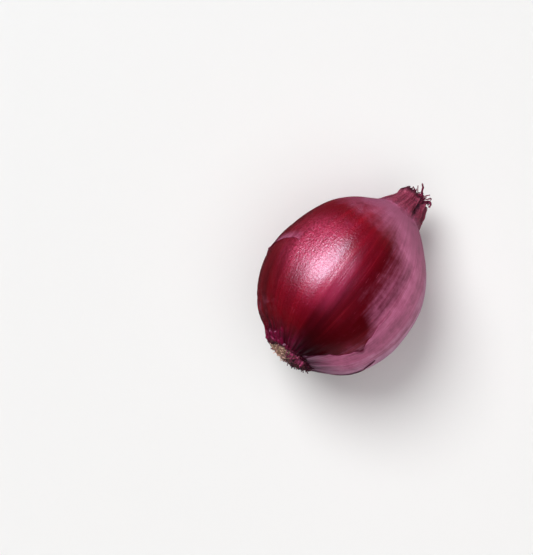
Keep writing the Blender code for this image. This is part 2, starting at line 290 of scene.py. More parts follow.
def skin_radius(height):
    """The radius of the plain skin at a height along the axis."""
    length = CROWN_LENGTH if height > 0 else BASE_LENGTH
    body = BULB_RADIUS * math.sqrt(max(0.0, 1 - (height / length) ** 2))
    if height <= 0:
        return body - ROOT_PINCH * bump(PINCH_HEIGHT, PINCH_REACH, height)
    neck = MOUTH_RADIUS + NECK_SLOPE * min(MOUTH_HEIGHT - height, NECK_LENGTH)
    return smooth_max(body, neck, NECK_BLEND)


def axis_shift(height):
    """Sideways place of the axis: the neck leans one way, its shoulder and the root end the other."""
    lean = NECK_LEAN * ease(SHOULDER_HEIGHT, MOUTH_HEIGHT, height)
    shoulder = SHOULDER_SHIFT * bump(SHOULDER_HEIGHT, SHOULDER_REACH, height)
    return lean + shoulder + ROOT_SHIFT * ease(-0.5 * BASE_LENGTH, -BASE_LENGTH, height)


def swell(angle, height):
    """Low swells of the fleshy leaves, and the blister of loosened skin beside the root end."""
    fade = 1 - ease(*SWELL_FADE, abs(height))
    swells = sum(size * math.sin(waves * angle + turn) for waves, size, turn in SWELLS)
    blister = BLISTER * bump(BLISTER_ANGLE, BLISTER_SPREAD, angle)
    return blister * bump(BLISTER_HEIGHT, BLISTER_REACH, height) + fade * swells


def veins(angle, height, depth):
    """Fine ridges from the root end to the neck, over slow lumps of the flesh below."""
    fine = noise.noise(ring(angle, 0) * 13 + Vector((0, 0, height * 22)))
    broad = noise.noise(ring(angle, 0) * 5 + Vector((7, 3, height * 16)))
    lumps = noise.noise(ring(angle, 0) * 2.4 + Vector((1, 9, height * 70)))
    share = ease(BASE_LENGTH, 0.6 * BASE_LENGTH, abs(height))
    return depth * (fine + 0.8 * broad) * (0.35 + 0.65 * share) + 0.3 * MM * lumps * share


def sheath_edge(angle):
    """The height at which the dry sheath of the neck is torn off, round the neck."""
    slow = noise.noise(ring(angle) * 1.7 + Vector((4, 0, 2)))
    quick = noise.noise(ring(angle) * 9)
    return SHEATH_EDGE + (3.2 * slow + 1.1 * quick) * MM


def pleat(angle, height, depth):
    """The folds of the neck, which twist as they rise, a deeper slit, and the sheath's thin edge."""
    rise = ease(PLEAT_START, MOUTH_HEIGHT, height)
    twist = PLEAT_TWIST * height / MM
    fold = math.sin(PLEATS * angle + twist + 1.5 * math.sin(2 * angle))
    wander = 3 * noise.noise(ring(angle) * 2 + Vector((0, 0, height * 60)))
    small = math.sin(27 * angle + 1.4 * twist + wander)
    crinkle = noise.noise(ring(angle) * 9 + Vector((0, 0, height * 260)))
    slit = 1.9 * MM * bump(SLIT_ANGLE + 0.02 * twist - 0.1, 0.6 * SLIT_WIDTH, angle)
    slit *= ease(44 * MM, 51.4 * MM, height)
    knuckle = 0.75 * MM * ease(-0.1, 0.8, math.sin(angle - 0.2)) * ease(52.2 * MM, 54.4 * MM, height)
    flare = RIM_FLARE * ease(MOUTH_HEIGHT - RIM_REACH, MOUTH_HEIGHT, height)
    edge = sheath_edge(angle)
    sheath = 0.04 * MM * ease(edge - 1.2 * MM, edge + 1.2 * MM, height)
    rolled = 1.3 * MM * ease(MOUTH_HEIGHT - 2.4 * MM, MOUTH_HEIGHT + 0.6 * MM, height) ** 2
    rolled *= 0.3 + 0.7 * ease(-0.7, 0.3, math.sin(angle))
    crease = abs(noise.noise(ring(angle) * 13 + Vector((6, 0, height * 520))))
    folds = rise * depth * (0.85 * fold + 0.2 * small + 0.9 * crinkle - 1.2 * crease)
    return folds + flare + sheath + knuckle - slit - rolled


def pucker(angle, height, depth):
    """The gathers of the skin round the root plate."""
    gather = ease(LIP_HEIGHT + PUCKER_REACH, LIP_HEIGHT, height)
    fold = math.sin(PUCKERS * angle + 2 * math.sin(angle + 1))
    wander = 2.5 * noise.noise(ring(angle) * 3 + Vector((5, 0, height * 90)))
    small = math.sin(43 * angle + wander)
    crinkle = noise.noise(ring(angle) * 7 + Vector((0, 2, height * 420)))
    far_side = ease(-0.3, 0.7, math.sin(angle))
    collar = 1.9 * MM * bump(-36.9 * MM, 1.9 * MM, height) - 0.7 * MM * bump(-32.2 * MM, 1.8 * MM, height)
    collar *= ease(0.35, 0.95, math.sin(angle))
    crease = abs(noise.noise(ring(angle) * 5 + Vector((3, 8, height * 300))))
    crumple = 1.2 * crinkle + far_side * (2.4 * crinkle - 2.2 * crease)
    patch = bump(-26 * MM, 4 * MM, height) * ease(0.6, 0.9, math.sin(angle)) * (crinkle - crease)
    return collar + gather * depth * (0.8 * fold + 0.5 * small + crumple) + depth * patch


def rim_lift(angle, height):
    """How far the torn rim of the mouth rises and falls."""
    jag = RIM_JAG * noise.noise(3 * ring(angle)) + RIM_SLOPE * math.sin(angle)
    teeth = 0.9 * MM * noise.noise(14 * ring(angle)) + 0.5 * MM * noise.noise(31 * ring(angle))
    knuckle = 0.35 * MM * ease(0.2, 0.9, math.sin(angle)) + 0.9 * MM * bump(2.5, 0.42, angle)
    return (jag + teeth + knuckle) * ease(MOUTH_HEIGHT - RIM_REACH, MOUTH_HEIGHT, height)


def fold_depth(angle, height):
    """From -1 in the bottom of a fold of the neck or the root end to 1 on its crest, for painted shade."""
    depth = pleat(angle, height, SHADED_PLEAT) if height > 0 else pucker(angle, height, SHADED_PUCKER)
    return min(max(depth / MM, -1.0), 1.0)


def skin_relief(angle, height, settings):
    """How far the finished skin stands out from the plain turned form."""
    relief = swell(angle, height) + veins(angle, height, settings.vein_depth)
    return relief + pleat(angle, height, settings.pleat_depth) + pucker(angle, height, settings.pucker_depth)


def skin_point(angle, height, settings, above=0.0):
    """A point of the finished skin, or at a distance above it, in the upright onion."""
    radius = skin_radius(height) + skin_relief(angle, height, settings) + above
    lift = rim_lift(angle, height)
    point = ring(angle) * radius
    point.y += axis_shift(height)
    point.z = height + lift
    return point


def new_piece(name, bm, materials, replaced=()):
    """Lays a finished upright mesh in its resting place and makes it a piece of the onion."""
    bmesh.ops.transform(bm, matrix=resting_matrix(), verts=bm.verts[:])
    mesh = bpy.data.meshes.new(name)
    bm.to_mesh(mesh)
    bm.free()
    if not mesh.polygons:
        raise RuntimeError(f"{name} has no faces")
    for material in materials:
        mesh.materials.append(material)
    mesh.shade_smooth()
    piece = bpy.data.objects.new(name, mesh)
    bpy.context.scene.collection.objects.link(piece)
    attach(piece, "root")
    if replaced:
        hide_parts(*replaced)
    return piece


def spin_profile(bm, profile, steps):
    """Turns a line of (radius, height) points round the axis."""
    points = [bm.verts.new((radius, 0, height)) for radius, height in profile]
    edges = [bm.edges.new(pair) for pair in zip(points, points[1:])]
    bmesh.ops.spin(
        bm,
        geom=points + edges,
        cent=(0, 0, 0),
        axis=(0, 0, 1),
        angle=2 * math.pi,
        steps=steps,
        use_merge=True,
    )
    bmesh.ops.remove_doubles(bm, verts=bm.verts[:], dist=0.001 * MM)
    bmesh.ops.recalc_face_normals(bm, faces=bm.faces[:])


class Nodes:
    """A node tree whose nodes are added and joined one after another."""

    def __init__(self, tree):
        self.tree = tree

    def feed(self, socket, value):
        """Joins a socket to another one, or sets it to a constant."""
        if isinstance(value, bpy.types.NodeSocket):
            self.tree.links.new(value, socket)
        else:
            socket.default_value = value

    def node(self, kind, *values, **choices):
        """Adds a node, with its choices and its first inputs."""
        made = self.tree.nodes.new("ShaderNode" + kind)
        for key, choice in choices.items():
            setattr(made, key, choice)
        for socket, value in zip(made.inputs, values):
            self.feed(socket, value)
        return made

    def math(self, operation, *values):
        return self.node("Math", *values, operation=operation).outputs[0]

    def vector(self, operation, *values):
        return self.node("VectorMath", *values, operation=operation).outputs[0]

    def chain(self, operation, first, *others):
        """Takes values together, one after another."""
        for other in others:
            first = self.math(operation, first, other)
        return first

    def total(self, *parts, start=None):
        """Adds up values, each times its share, on top of the start."""
        for value, share in parts:
            if start is None:
                start = self.math("MULTIPLY", value, share)
            else:
                start = self.math("MULTIPLY_ADD", value, share, start)
        return start

    def reach(self, value, start, end, low=0.0, high=1.0):
        """Eases from low to high as the value goes from start to end."""
        eased = self.node("MapRange", value, start, end, low, high, interpolation_type="SMOOTHSTEP")
        return eased.outputs[0]

    def near(self, value, middle, outer, inner, high=1.0):
        """High where the value is within inner of the middle, easing to 0 where it is outer away."""
        away = self.math("ABSOLUTE", self.math("SUBTRACT", value, middle))
        return self.reach(away, outer, inner, 0.0, high)

    def paint(self, under, over, *shares):
        """Lays a colour over another, as far as the product of the shares says."""
        mix = self.node("Mix", self.chain("MULTIPLY", *shares), data_type="RGBA")
        for socket, colour in zip(mix.inputs[6:8], (under, over)):
            self.feed(socket, colour if isinstance(colour, bpy.types.NodeSocket) else (*colour, 1))
        return mix.outputs[2]

    def grain(self, vector, scale, detail=3.0, roughness=0.55, distortion=0.0):
        made = self.node("TexNoise", vector)
        settings = {"Scale": scale, "Detail": detail, "Roughness": roughness, "Distortion": distortion}
        for key, value in settings.items():
            made.inputs[key].default_value = value
        return made.outputs[0]

    def ramp(self, share, *stops):
        made = self.node("ValToRGB", share)
        line = made.color_ramp
        while len(line.elements) < len(stops):
            line.elements.new(0.5)
        for element, (place, colour) in zip(line.elements, stops):
            element.position = place
            element.color = (*colour, 1)
        return made.outputs[0]


class Recipe(Nodes):
    """A material, made node by node."""

    def __init__(self, name):
        self.material = bpy.data.materials.new(name)
        self.material.use_nodes = True
        super().__init__(self.material.node_tree)
        self.shader = self.tree.nodes["Principled BSDF"]

    def attribute(self, name):
        return self.node("Attribute", attribute_name=name).outputs["Fac"]

    def relief(self, height, depth, strength=1.0):
        made = self.node("Bump")
        made.inputs["Strength"].default_value = strength
        made.inputs["Distance"].default_value = depth
        self.feed(made.inputs["Height"], height)
        self.feed(self.shader.inputs["Normal"], made.outputs[0])
        self.feed(self.shader.inputs["Coat Normal"], made.outputs[0])

    def set(self, **values):
        for name, value in values.items():
            self.feed(self.shader.inputs[name.replace("_", " ")], value)


class SkinPlaces:
    """Where a point is on the upright onion, as sockets of a recipe.

    Height is in metres from the widest section, side is 1 on the pale near side and -1 on the far
    side, and across is in metres.
    """

    def __init__(self, recipe):
        self.recipe = recipe
        coordinates = recipe.node("TexCoord").outputs["Object"]
        mapping = recipe.node("Mapping", coordinates, vector_type="TEXTURE")
        mapping.inputs["Location"].default_value = AXIS_CENTRE
        mapping.inputs["Rotation"].default_value = (0, math.pi / 2 + REST_TILT, 0)
        self.upright = mapping.outputs[0]
        parts = recipe.node("SeparateXYZ", self.upright)
        self.across = parts.outputs[1]
        self.height = parts.outputs[2]
        self.outward = recipe.vector("NORMALIZE", recipe.vector("MULTIPLY", self.upright, (1, 1, 0)))
        sideways = recipe.node("SeparateXYZ", self.outward)
        self.side = recipe.math("MULTIPLY", sideways.outputs[1], -1.0)

    def streaks(self, around, along, detail=3.0, roughness=0.55):
        """Noise drawn out along the meridians, finer round the bulb for a larger first number."""
        turned = self.recipe.node("VectorMath", self.outward, operation="SCALE")
        turned.inputs["Scale"].default_value = around
        rise = self.recipe.node("CombineXYZ", 0.0, 0.0, self.recipe.math("MULTIPLY", self.height, along))
        place = self.recipe.vector("ADD", turned.outputs[0], rise.outputs[0])
        return self.recipe.grain(place, 1.0, detail, roughness)


class SkinNoise(SkinPlaces):
    """The noises that the parts of the skin's material share, from broad streaks to fine specks."""

    def __init__(self, recipe):
        super().__init__(recipe)
        self.broad = self.streaks(1.7, 11, 3.0)
        self.medium = self.streaks(7, 20, 4.0, 0.6)
        self.fine = self.streaks(34, 34, 3.0, 0.6)
        self.threads = self.streaks(75, 60, 2.0, 0.5)
        self.mottle = recipe.grain(self.upright, 190, 5.0, 0.62)
        cells = recipe.vector("MULTIPLY", self.upright, (1.0, 1.0, 0.8))
        self.speck = recipe.grain(cells, 1150, 2.0, 0.55)


def scaled(colour, factor, extra=0.0):
    """A colour made lighter or darker."""
    return [factor * part + extra for part in colour]


def red_colours(recipe, places, settings):
    """Crimson with darker and redder streaks, a dark band, and a painted pink halo round the highlight."""
    streaks = ((places.broad, 0.55), (places.medium, 0.33), (places.fine, 0.12))
    tone = recipe.total(*streaks, (places.side, -0.10), (places.height, 1.8))
    red = recipe.ramp(
        tone,
        (0.38, settings.dark),
        (0.48, [0.55 * dark + 0.45 * main for dark, main in zip(settings.dark, settings.crimson)]),
        (0.59, settings.crimson),
        (0.70, scaled(settings.crimson, 1.6)),
        (0.80, scaled(settings.crimson, 2.0, 0.002)),
    )
    bloom = recipe.total((places.streaks(3.1, 34, 3.0), 0.6), (places.mottle, 0.5))
    red = recipe.paint(red, (0.20, 0.010, 0.040), recipe.reach(bloom, 0.56, 0.76, 0.0, 0.3))
    red = recipe.paint(
        red,
        settings.dark,
        recipe.near(places.side, 0.26, 0.24, 0.06),
        recipe.near(places.height, 8 * MM, 26 * MM, 10 * MM, 0.5),
    )
    # Painted highlight: a soft pink halo beside the softbox's highlight, on the top of the bulb.
    painted_halo = recipe.total((places.medium, 0.16), start=places.side)
    red = recipe.paint(
        red,
        (0.60, 0.034, 0.11),
        recipe.reach(painted_halo, 0.14, 0.00),
        recipe.reach(painted_halo, -0.60, -0.20),
        recipe.near(places.height, -6 * MM, 18 * MM, 5 * MM, 0.34),
    )
    # Painted highlight: pink specks round the softbox's highlight.
    around = recipe.total((places.medium, 0.2), start=places.side)
    return recipe.paint(
        red,
        (0.66, 0.055, 0.14),
        recipe.near(around, -0.52, 0.36, 0.08),
        recipe.near(places.height, 4 * MM, 20 * MM, 5 * MM, 0.50),
        recipe.reach(places.speck, 0.36, 0.62, 0.45, 1.2),
    )


def pale_and_sheen_colours(recipe, places, settings):
    """Streaky lilac, partly painted reflection, turning to painted lavender reflection furthest round the
    side.
    """
    shade = recipe.total((places.medium, 0.35), (places.fine, 0.27), (places.mottle, 0.38))
    lilac = recipe.ramp(
        shade,
        (0.38, scaled(settings.lilac, 0.52)),
        (0.50, scaled(settings.lilac, 0.82)),
        (0.62, (0.67, 0.205, 0.37)),
    )
    lavender = recipe.ramp(
        shade, (0.38, (0.40, 0.17, 0.30)), (0.50, (0.62, 0.29, 0.47)), (0.62, (0.74, 0.40, 0.60))
    )
    pale = recipe.total((places.medium, 0.34), (places.mottle, 0.20), start=places.side)
    # Painted reflection: lavender at the rim of the near side.
    return recipe.paint(lilac, lavender, recipe.reach(pale, 1.09, 1.27, 0.0, 0.75))


def dull_and_sheen_share(recipe, places, paper, edged):
    """Share of dried, dull lilac: shoulder, loose edges and near side, the last partly painted reflection."""
    wander = recipe.total((places.streaks(11, 30, 4.0, 0.65), 0.60), (places.mottle, 0.30), start=places.side)
    wander = recipe.math("ADD", wander, recipe.reach(places.height, 16 * MM, 42 * MM, 0.0, 0.75))
    if not paper:
        wander = recipe.math("ADD", wander, recipe.reach(places.height, -4 * MM, -18 * MM, 0.0, -0.4))
    shoulder = recipe.total((places.mottle, 12 * MM), (places.side, 5 * MM), start=places.height)
    shares = [recipe.reach(wander, 0.60, 1.20), recipe.reach(shoulder, 27.5 * MM, 45.5 * MM)]
    if paper:
        shares.append(recipe.reach(places.height, 4 * MM, -10 * MM, 0.0, paper))
    if edged:
        dried = recipe.reach(places.medium, 0.30, 0.60, 0.3 * edged, edged)
        shares.append(recipe.math("MULTIPLY", recipe.attribute("edge"), dried))
    return recipe.chain("MAXIMUM", *shares)


def root_end_colours(recipe, places, paper):
    """Dark puckered skin round the root plate, paler on fold crests, with painted shade in folds and near
    side.
    """
    # Painted shade: darker in the bottoms of the folds, paler on their crests.
    crest = recipe.total((recipe.attribute("fold"), 0.12), start=places.streaks(26, 12, 2.0, 0.6))
    if paper:
        return recipe.ramp(crest, (0.44, (0.010, 0.002, 0.005)), (0.60, (0.24, 0.13, 0.19)))
    dark = recipe.ramp(crest, (0.40, (0.020, 0.0006, 0.003)), (0.66, (0.16, 0.006, 0.036)))
    # Painted shade: near black on the near side.
    return recipe.paint(dark, (0.010, 0.0003, 0.001), recipe.reach(places.side, -0.25, 0.25))


def skin_material(settings, name="crimson_skin", paper=0.0, edged=0.0):
    """Glossy crimson skin with darker and redder streaks, a dull lilac shoulder, and a dull lilac side
    that is partly a painted reflection of the bright wall.

    Paper is how far a loosened skin has dried to lilac all over, below the middle of the bulb, and
    edged how far it has dried along its lower edge only.
    """
    recipe = Recipe(name)
    places = SkinNoise(recipe)
    red = red_colours(recipe, places, settings)
    pale = pale_and_sheen_colours(recipe, places, settings)
    dull = dull_and_sheen_share(recipe, places, paper, edged)
    foot = recipe.reach(places.height, 22 * MM, 43.2 * MM, 0.0, 0.75)
    pale = recipe.paint(pale, scaled(settings.lilac, 0.57), foot)
    strand = recipe.near(places.streaks(10, 6, 2.0, 0.5), 0.5, 0.022, 0.0)
    strand = recipe.math("MULTIPLY", strand, recipe.reach(places.medium, 0.44, 0.64, 0.0, 0.30))
    red = recipe.paint(red, (0.38, 0.012, 0.022), strand)
    pale = recipe.paint(pale, scaled(settings.lilac, 0.42), strand)
    # Partly painted reflection: the lilac laid over the crimson on the near side.
    colour = recipe.paint(red, pale, dull, 0.92)
    if paper:
        torn = recipe.reach(places.medium, 0.66, 0.36, 0.15, 0.85)
        colour = recipe.paint(colour, (0.12, 0.010, 0.028), recipe.attribute("rim"), torn)

    # Pale flecks, a pink patch beside the root end on the far side, and painted shade above the root end.
    colour = recipe.paint(
        colour,
        (0.42, 0.045, 0.085),
        recipe.reach(places.streaks(60, 130, 2.0, 0.5), 0.64, 0.72),
        recipe.reach(places.mottle, 0.45, 0.62, 0.0, 0.55),
    )
    # A pink patch beside the root end, on the far side.
    colour = recipe.paint(
        colour,
        (0.34, 0.085, 0.15),
        recipe.near(places.height, -28.5 * MM, 4.5 * MM, 1 * MM),
        recipe.reach(places.side, -0.72, -0.90),
        recipe.reach(places.mottle, 0.46, 0.60, 0.0, 0.38),
    )
    # Painted shade: near black on the top and near side above the root end.
    root_shade_line = recipe.total((places.side, 12 * MM), start=places.height)
    colour = recipe.paint(
        colour,
        (0.022, 0.0003, 0.0008),
        recipe.reach(root_shade_line, -14 * MM, -30 * MM, 0.0, 0.8 - 0.8 * paper),
        recipe.reach(places.side, -0.5, 0.1),
    )
    root_end = recipe.reach(places.height, -29 * MM, -36 * MM)
    colour = recipe.paint(colour, root_end_colours(recipe, places, paper), root_end, 0.9)

    rough = recipe.total(
        (places.fine, 0.10), (places.mottle, 0.12), (dull, 0.10), (root_end, 0.10), start=0.31
    )
    recipe.set(Base_Color=colour, Roughness=rough)
    recipe.set(Specular_IOR_Level=0.50, Specular_Tint=(1.0, 0.08, 0.33, 1.0))
    coat = recipe.reach(places.side, -0.05, 0.45, 0.9, 0.4)
    coat = recipe.math("SUBTRACT", coat, recipe.math("MULTIPLY", dull, 0.15))
    sparkle = recipe.reach(recipe.grain(places.upright, 1500, 1.0, 0.5), 0.34, 0.66, 0.62, 1.16)
    coat = recipe.chain("MULTIPLY", coat, recipe.math("SUBTRACT", 1.0, foot), sparkle)
    recipe.set(Coat_Weight=coat, Coat_IOR=1.57, Coat_Roughness=0.16 + 0.1 * paper)

    rough_side = recipe.chain(
        "MULTIPLY",
        recipe.reach(places.side, -0.10, -0.42, 0.20, 0.70),
        recipe.reach(places.height, -14 * MM, 6 * MM, 0.5, 1.0),
    )
    height = recipe.total((places.fine, 0.12), (places.medium, 0.20), (places.threads, 0.08))
    height = recipe.total((places.mottle, 0.08), (places.speck, rough_side), start=height)
    recipe.relief(height, 0.35 * MM, 0.9)
    return recipe.material


def neck_material(settings):
    """Dry, matte, wrinkled maroon sheath, paler where it meets the shoulder of the bulb."""
    recipe = Recipe("dry_neck_sheath")
    places = SkinPlaces(recipe)
    lines = places.streaks(15, 70, 4.0, 0.65)
    bands = places.streaks(3.2, 60, 3.0)
    mottle = recipe.grain(places.upright, 420, 4.0, 0.6)
    crumple = recipe.grain(places.upright, 800, 3.0, 0.6, 1.4)
    tone = recipe.total((lines, 0.22), (bands, 0.28), (mottle, 0.20), (crumple, 0.30))
    # Painted shade: darker in the bottoms of the neck's folds.
    tone = recipe.total((recipe.attribute("fold"), 0.09), start=tone)
    colour = recipe.ramp(
        tone,
        (0.38, scaled(settings.neck, 0.16)),
        (0.46, scaled(settings.neck, 0.75)),
        (0.54, scaled(settings.neck, 1.1)),
        (0.63, scaled(settings.neck, 1.45, 0.03)),
    )
    foot = recipe.total((lines, 6 * MM), start=places.height)
    foot = recipe.reach(foot, 44 * MM, 50.5 * MM, 0.85, 0.0)
    colour = recipe.paint(colour, scaled(settings.lilac, 0.60), foot)
    rim = recipe.total((mottle, 3 * MM), start=places.height)
    colour = recipe.paint(colour, (0.045, 0.004, 0.012), recipe.reach(rim, 54.8 * MM, 57.5 * MM, 0.0, 0.9))
    recipe.set(Base_Color=colour, Roughness=recipe.total((mottle, 0.3), start=0.48))
    recipe.set(Specular_IOR_Level=0.28, Specular_Tint=(1.0, 0.4, 0.6, 1.0))
    height = recipe.total((mottle, 0.5), (lines, 0.5), (crumple, 0.9))
    recipe.relief(height, 0.75 * MM, 0.9)
    return recipe.material


def shred_material(name, tint, spread=1.0):
    """Brittle, curled leaf tips, streaked and mottled from near black to maroon."""
    recipe = Recipe(name)
    places = SkinPlaces(recipe)
    lines = places.streaks(14, 120, 3.0)
    mottle = recipe.grain(places.upright, 700, 3.0, 0.6)
    colour = recipe.ramp(
        recipe.total((mottle, 0.5), (lines, 0.5)),
        (0.38, scaled(tint, 0.25)),
        (0.50, tint),
        (0.66, scaled(tint, 1 + spread, 0.02 * spread)),
    )
    recipe.set(Base_Color=colour, Roughness=recipe.total((mottle, 0.3), start=0.42))
    recipe.set(Specular_IOR_Level=0.35, Specular_Tint=(1.0, 0.3, 0.5, 1.0))
    recipe.relief(recipe.math("ADD", lines, mottle), 0.15 * MM, 0.8)
    return recipe.material


def cork_material(settings):
    """Corky root plate: tan, cracked and crumbly, with painted shade in dark red on one side."""
    recipe = Recipe("tan_root_cork")
    places = SkinPlaces(recipe)
    crumb = recipe.grain(places.upright, 900, 5.0, 0.7)
    patch = recipe.grain(places.upright, 260, 3.0, 0.6)
    colour = recipe.ramp(
        recipe.total((crumb, 0.5), (patch, 0.5)),
        (0.38, (0.030, 0.010, 0.010)),
        (0.48, scaled(settings.tan, 0.55)),
        (0.58, settings.tan),
        (0.76, scaled(settings.tan, 1.6, 0.04)),
    )
    # Painted shade: dark red on the side away from the light.
    shaded_side = recipe.total((patch, -6 * MM), start=places.across)
    shaded_side = recipe.reach(shaded_side, -1.5 * MM, -5.5 * MM, 0.0, 0.9)
    colour = recipe.paint(colour, (0.075, 0.004, 0.014), shaded_side)
    recipe.set(Base_Color=colour, Roughness=0.85, Specular_IOR_Level=0.25)
    recipe.relief(crumb, 0.5 * MM, 0.9)
    return recipe.material


def root_material(settings):
    """Trimmed roots: each has its own tint, from tan through pink to dark maroon."""
    recipe = Recipe("trimmed_roots")
    places = SkinPlaces(recipe)
    crumb = recipe.grain(places.upright, 1300, 3.0, 0.6)
    tint = recipe.math("SUBTRACT", recipe.attribute("root_tint"), 0.175)
    colour = recipe.ramp(
        recipe.total((crumb, 0.35), start=tint),
        (0.00, (0.045, 0.003, 0.012)),
        (0.22, (0.24, 0.045, 0.095)),
        (0.50, settings.tan),
        (0.90, (0.86, 0.54, 0.44)),
    )
    recipe.set(Base_Color=colour, Roughness=0.7, Specular_IOR_Level=0.3)
    recipe.relief(crumb, 0.12 * MM, 0.7)
    return recipe.material


def bulb_rows():
    """Rows of the bulb from the well in the neck over the rim and down to the root socket."""
    rows = [
        (0.0, 48.4 * MM),
        (1.2 * MM, 48.4 * MM),
        (2.6 * MM, 48.6 * MM),
        (3.9 * MM, 49.2 * MM),
        (4.6 * MM, 50.2 * MM),
    ]
    inner_rows = 10
    for row in range(inner_rows):
        rows.append((4.8 * MM + 0.06 * MM * row, (51.0 + 0.42 * row) * MM))
    rows += [(5.55 * MM, MOUTH_HEIGHT - 0.1 * MM), (5.75 * MM, MOUTH_HEIGHT)]
    neck_rows = 46
    top = MOUTH_HEIGHT - 0.15 * MM
    for row in range(neck_rows):
        height = top + (NECK_START - top) * row / neck_rows
        rows.append((skin_radius(height), height))
    start = math.asin(NECK_START / CROWN_LENGTH)
    crown_rows = 66
    for row in range(crown_rows):
        height = CROWN_LENGTH * math.sin(start * (1 - row / crown_rows))
        rows.append((skin_radius(height), height))
    end = math.acos(SKIN_END_RADIUS / BULB_RADIUS)
    base_rows = 100
    for row in range(base_rows + 1):
        height = -BASE_LENGTH * math.sin(end * row / base_rows)
        rows.append((skin_radius(height), height))
    last = rows[-1]
    for share in (0.33, 0.67, 1.0):
        radius = last[0] + (LIP_RADIUS - last[0]) * share
        rows.append((radius, last[1] + (LIP_HEIGHT - last[1]) * share))
    rows += [
        (SOCKET_RADIUS + 0.6 * MM, LIP_HEIGHT - 0.1 * MM),
        (SOCKET_RADIUS + 0.15 * MM, LIP_HEIGHT + 0.3 * MM),
        (SOCKET_RADIUS, SOCKET_FLOOR),
        (0.5 * SOCKET_RADIUS, SOCKET_FLOOR),
        (0.0, SOCKET_FLOOR),
    ]
    return rows


def shape_bulb(bm, settings):
    """Gives the turned bulb its swells, veins, folds and torn rim, and rests it on the table."""
    to_table = resting_matrix()
    from_table = to_table.inverted()
    folds = bm.verts.layers.float.new("fold")
    for vertex in bm.verts:
        x, y, height = vertex.co
        radius = math.hypot(x, y)
        if radius < 0.001 * MM:
            vertex.co.y = axis_shift(height)
            continue
        angle = math.atan2(y, x) % (2 * math.pi)
        if height < -30 * MM and radius < SOCKET_RADIUS + 0.1 * MM:
            vertex.co.y += axis_shift(height)
            continue
        out = skin_relief(angle, height, settings)
        vertex[folds] = fold_depth(angle, height)
        if height > 45 * MM:
            out *= ease(2 * MM, 4.6 * MM, radius)
        elif height < -37 * MM:
            out *= ease(SOCKET_RADIUS, LIP_RADIUS, radius)
        point = ring(angle) * (radius + out)
        point.y += axis_shift(height)
        point.z = height + rim_lift(angle, height)
        vertex.co = point
    for vertex in bm.verts:
        placed = to_table @ vertex.co
        if placed.z < 0:
            placed.z = 0
            vertex.co = from_table @ placed


class ONION_OT_bulb_skin(Operator):
    """Build the bulb in its glossy skin, with the pleated neck and the puckered root end"""

    bl_idname = "onion.bulb_skin"
    bl_label = "Bulb skin"

    def execute(self, context):
        settings = context.scene.onion_skin
        bm = bmesh.new()
        spin_profile(bm, bulb_rows(), settings.steps)
        shape_bulb(bm, settings)
        for face in bm.faces:
            x, y, height = face.calc_center_median()
            angle = math.atan2(y - axis_shift(height), x) % (2 * math.pi)
            face.material_index = 1 if height > sheath_edge(angle) else 0
        materials = [skin_material(settings), neck_material(settings)]
        new_piece("bulb_skin", bm, materials, ["bulb"])
        return {"FINISHED"}


def torn_sheet(borders, heights, columns, rows, tear, seed, lift, settings):
    """A loose skin over part of the bulb, with torn edges.

    Borders give its first and last angle at a height, and heights its lowest and highest height at
    a share of the way round. Tear is how far the edges wander, in metres, and lift how far the sheet
    stands off at (share round, share along).
    """
    bm = bmesh.new()
    bmesh.ops.create_grid(bm, x_segments=columns, y_segments=rows, size=0.5)
    shift = Vector((seed, 2 * seed, 0))
    folds = bm.verts.layers.float.new("fold")
    edges = bm.verts.layers.float.new("edge")
    rims = bm.verts.layers.float.new("rim")

    def wander(side, place, waves):
        """How far a torn edge wanders at a place along it."""
        return sum(
            size * noise.noise(shift + Vector((side, place * wave, 0)))
            for size, wave in zip((1.0, 0.5, 0.25), waves)
        )

    for vertex in bm.verts:
        across = vertex.co.x + 0.5
        along = vertex.co.y + 0.5
        low, high = (limit(across) for limit in heights)
        bottom = low + tear * wander(30, across, (4, 17, 60))
        top = high + tear * wander(40, across, (4, 17, 60))
        height = bottom + (top - bottom) * along
        radius = max(skin_radius(height), 8 * MM)
        first, last = (border(height) for border in borders)
        left = first + tear / radius * wander(10, along, (5, 21, 70))
        right = last + tear / radius * wander(20, along, (5, 21, 70))
        angle = left + (right - left) * across
        vertex.co = skin_point(angle, height, settings, lift(across, along))
        vertex[folds] = fold_depth(angle, height)
        vertex[edges] = ease(5.5 * MM, 0.0, height - bottom) * ease(1.0, 0.8, across)
        vertex[rims] = ease(0.045, 0.0, across)
    bmesh.ops.recalc_face_normals(bm, faces=bm.faces[:])
    face = bm.faces[len(bm.faces) // 2]
    centre = face.calc_center_median()
    if face.normal.dot(Vector((centre.x, centre.y, 0))) < 0:
        bmesh.ops.reverse_faces(bm, faces=bm.faces[:])
    return bm


def add_thickness(piece, thickness):
    """Gives a sheet its thickness, all of it outside the sheet's own surface."""
    solidify = piece.modifiers.new("thickness", "SOLIDIFY")
    solidify.thickness = thickness
    solidify.offset = 1.0


